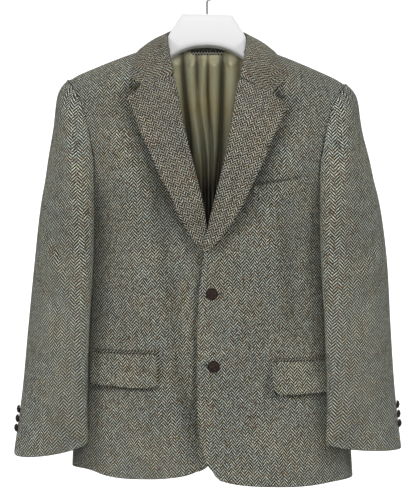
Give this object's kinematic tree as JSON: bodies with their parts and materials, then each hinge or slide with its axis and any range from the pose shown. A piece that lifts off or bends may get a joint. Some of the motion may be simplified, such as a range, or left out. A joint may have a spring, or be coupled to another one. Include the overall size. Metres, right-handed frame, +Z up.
{
  "type": "tweed hacking jacket on a hanger",
  "caption": "Single-breasted herringbone tweed jacket with notch lapels and flap pockets, hung on a white hanger.",
  "frame": {"origin": "inside the top of the hanger's hook, where a rail carries it", "axes": "+Z up, +Y towards the back of the jacket, +X towards the wearer's left"},
  "size_m": [0.6502, 0.2214, 0.856],
  "materials": {
    "tweed": "matt herringbone wool tweed, grey-olive with flecks",
    "lining": "olive satin",
    "dark_tape": "matt",
    "button_leather": "woven, satin",
    "hanger_white": "satin white",
    "hook_steel": "satin"
  },
  "bodies": {
    "root": {"front_left": "tweed", "front_right": "tweed", "side_left": "tweed", "side_right": "tweed", "back_left": "tweed", "back_right": "tweed", "sleeve_top_left": "tweed", "sleeve_top_right": "tweed", "sleeve_under_left": "tweed", "sleeve_under_right": "tweed", "collar": "tweed", "collar_stand": "tweed", "lapel_left": "tweed", "lapel_right": "tweed", "flap_left": "tweed", "flap_right": "tweed", "jet_left": "tweed", "jet_right": "tweed", "welt_breast": "tweed", "lining_back": "lining", "neck_tape": "dark_tape", "button_front_top": "button_leather", "button_front_low": "button_leather", "button_cuff_left_1": "button_leather", "button_cuff_left_2": "button_leather", "button_cuff_left_3": "button_leather", "button_cuff_right_1": "button_leather", "button_cuff_right_2": "button_leather", "button_cuff_right_3": "button_leather", "hanger": "hanger_white", "hook": "hook_steel"}
  },
  "joints": []
}
